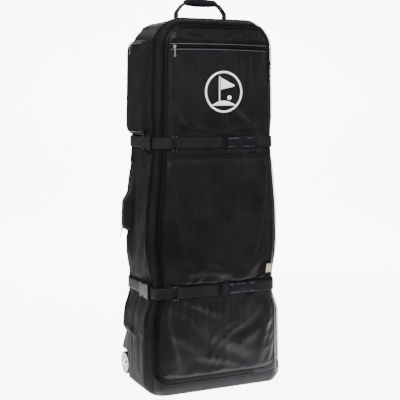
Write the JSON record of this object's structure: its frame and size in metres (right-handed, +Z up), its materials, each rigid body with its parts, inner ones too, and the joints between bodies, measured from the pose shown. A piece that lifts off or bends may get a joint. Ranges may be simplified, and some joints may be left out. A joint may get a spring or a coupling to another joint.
{
  "type": "golf travel case",
  "caption": "Upright wheeled golf travel case of padded fabric with a zipped front lid, two buckled straps, pockets, a top handle and a moulded wheel base.",
  "frame": {"origin": "centre of the base underside, on the ground", "axes": "+Z up along the case; -Y the front with the lid; +X to the right as seen from the front"},
  "size_m": [0.5092, 0.3524, 1.349],
  "materials": {
    "case_fabric": "woven polyester, soft sheen",
    "side_fabric": "ballistic nylon weave",
    "board": "sheet plastic",
    "foam": "lined foam",
    "webbing": "ribbed polypropylene webbing",
    "zip_tape": "zip tape with coil",
    "pad_fabric": "padded fabric with piping",
    "buckle_plastic": "moulded acetal",
    "slider_metal": "nickel-plated die-cast zinc",
    "housing_plastic": "textured moulding",
    "tyre_rubber": "urethane rubber",
    "hub_plastic": "silver paint",
    "steel": "zinc-plated steel",
    "emblem_thread": "white embroidery",
    "label_weave": "woven label"
  },
  "bodies": {
    "case": {"back_panel": "case_fabric", "left_side_panel": "side_fabric", "right_side_panel": "side_fabric", "top_panel": "case_fabric", "base_boot": "side_fabric", "base_board": "board", "back_board": "board", "top_foam_pad": "foam", "upper_inner_strap": "webbing", "lower_inner_strap": "webbing", "main_zip_case": "zip_tape", "shoe_pocket": "side_fabric", "side_pocket": "side_fabric", "upper_strap_tail": "webbing", "lower_strap_tail": "webbing", "upper_buckle_socket": "buckle_plastic", "lower_buckle_socket": "buckle_plastic", "left_wheel_housing": "housing_plastic", "right_wheel_housing": "housing_plastic", "left_axle": "steel", "right_axle": "steel", "handle_anchors": "webbing"},
    "lid": {"front_lid": "case_fabric", "main_zip_lid": "zip_tape", "front_pocket": "side_fabric", "front_pocket_zip": "zip_tape", "emblem_patch": "emblem_thread", "woven_label": "label_weave"},
    "handle": {"handle_webbing": "webbing", "handle_grip": "pad_fabric"},
    "left_wheel": {"left_tyre": "tyre_rubber", "left_hub": "hub_plastic", "left_bearings": "steel"},
    "right_wheel": {"right_tyre": "tyre_rubber", "right_hub": "hub_plastic", "right_bearings": "steel"},
    "upper_strap": {"upper_strap": "webbing", "upper_strap_pad": "pad_fabric", "upper_buckle_plug": "buckle_plastic"},
    "upper_adjuster": {"upper_adjuster": "buckle_plastic"},
    "upper_prong_top": {"upper_prong_top": "buckle_plastic"},
    "upper_prong_bottom": {"upper_prong_bottom": "buckle_plastic"},
    "lower_strap": {"lower_strap": "webbing", "lower_strap_pad": "pad_fabric", "lower_buckle_plug": "buckle_plastic"},
    "lower_adjuster": {"lower_adjuster": "buckle_plastic"},
    "lower_prong_top": {"lower_prong_top": "buckle_plastic"},
    "lower_prong_bottom": {"lower_prong_bottom": "buckle_plastic"},
    "front_pocket_slider": {"front_pocket_slider": "slider_metal"},
    "front_pocket_pull": {"front_pocket_pull": "slider_metal"},
    "shoe_pocket_slider": {"shoe_pocket_slider": "slider_metal"},
    "shoe_pocket_pull": {"shoe_pocket_pull": "slider_metal"},
    "side_pocket_slider": {"side_pocket_slider": "slider_metal"},
    "side_pocket_pull": {"side_pocket_pull": "slider_metal"},
    "main_slider": {"main_slider": "slider_metal"},
    "main_pull": {"main_pull": "slider_metal"}
  },
  "joints": [
    {"name": "lid_hinge", "type": "hinge", "parent": "case", "child": "lid", "pos_m": [0.22182, -0.141, 0], "axis": [-0.0236, 0, 0.9997], "range_deg": [0, 110]},
    {"name": "handle_fold", "type": "hinge", "parent": "case", "child": "handle", "pos_m": [0, 0, 1.278], "axis": [1, 0, 0], "range_deg": [-60, 60]},
    {"name": "left_wheel_spin", "type": "hinge", "parent": "case", "child": "left_wheel", "pos_m": [-0.225, 0.15, 0.043], "axis": [1, 0, 0], "continuous": true},
    {"name": "right_wheel_spin", "type": "hinge", "parent": "case", "child": "right_wheel", "pos_m": [0.225, 0.15, 0.043], "axis": [1, 0, 0], "continuous": true},
    {"name": "upper_strap_swing", "type": "hinge", "parent": "case", "child": "upper_strap", "pos_m": [0.22211, -0.088, 0.859], "axis": [0, 0, 1], "range_deg": [0, 154]},
    {"name": "upper_adjuster_slide", "type": "slide", "parent": "upper_strap", "child": "upper_adjuster", "axis": [-1, 0, 0], "range_m": [0, 0.15]},
    {"name": "upper_prong_top_squeeze", "type": "hinge", "parent": "upper_strap", "child": "upper_prong_top", "pos_m": [-0.22521, -0.078, 0.8762], "axis": [-1, 0, 0], "range_deg": [0, 7], "stiffness_Nm_per_rad": 0.35},
    {"name": "upper_prong_bottom_squeeze", "type": "hinge", "parent": "upper_strap", "child": "upper_prong_bottom", "pos_m": [-0.22521, -0.078, 0.8418], "axis": [1, 0, 0], "range_deg": [0, 7], "stiffness_Nm_per_rad": 0.35},
    {"name": "lower_strap_swing", "type": "hinge", "parent": "case", "child": "lower_strap", "pos_m": [0.23406, -0.088, 0.353], "axis": [0, 0, 1], "range_deg": [0, 154]},
    {"name": "lower_adjuster_slide", "type": "slide", "parent": "lower_strap", "child": "lower_adjuster", "axis": [-1, 0, 0], "range_m": [0, 0.15]},
    {"name": "lower_prong_top_squeeze", "type": "hinge", "parent": "lower_strap", "child": "lower_prong_top", "pos_m": [-0.23716, -0.078, 0.3702], "axis": [-1, 0, 0], "range_deg": [0, 7], "stiffness_Nm_per_rad": 0.35},
    {"name": "lower_prong_bottom_squeeze", "type": "hinge", "parent": "lower_strap", "child": "lower_prong_bottom", "pos_m": [-0.23716, -0.078, 0.3358], "axis": [1, 0, 0], "range_deg": [0, 7], "stiffness_Nm_per_rad": 0.35},
    {"name": "front_pocket_slider_travel", "type": "slide", "parent": "lid", "child": "front_pocket_slider", "axis": [1, 0, 0], "range_m": [0, 0.33]},
    {"name": "front_pocket_pull_swing", "type": "hinge", "parent": "front_pocket_slider", "child": "front_pocket_pull", "pos_m": [-0.166, -0.1598, 1.177], "axis": [-1, 0, 0], "range_deg": [0, 100]},
    {"name": "shoe_pocket_slider_travel", "type": "slide", "parent": "case", "child": "shoe_pocket_slider", "axis": [0, -1, 0], "range_m": [0, 0.11]},
    {"name": "shoe_pocket_pull_swing", "type": "hinge", "parent": "shoe_pocket_slider", "child": "shoe_pocket_pull", "pos_m": [-0.23162, 0.083, 1.19315], "axis": [0, 1, 0], "range_deg": [0, 100]},
    {"name": "side_pocket_slider_travel", "type": "slide", "parent": "case", "child": "side_pocket_slider", "axis": [0.1663, 0, 0.9861], "range_m": [0, 0.15]},
    {"name": "side_pocket_pull_swing", "type": "hinge", "parent": "side_pocket_slider", "child": "side_pocket_pull", "pos_m": [-0.26293, 0.095, 0.55306], "axis": [0, 1, 0], "range_deg": [0, 100]},
    {"name": "main_slider_travel", "type": "slide", "parent": "case", "child": "main_slider", "axis": [0.0236, 0, -0.9997], "range_m": [0, 0.09]},
    {"name": "main_pull_swing", "type": "hinge", "parent": "main_slider", "child": "main_pull", "pos_m": [0.20441, -0.13951, 1.18], "axis": [-0.7071, -0.7071, 0], "range_deg": [0, 100]}
  ],
  "couplings": [
    {"joint": "upper_strap_swing", "follows": "lid_hinge", "ratio": 1.4},
    {"joint": "lower_strap_swing", "follows": "lid_hinge", "ratio": 1.4}
  ]
}
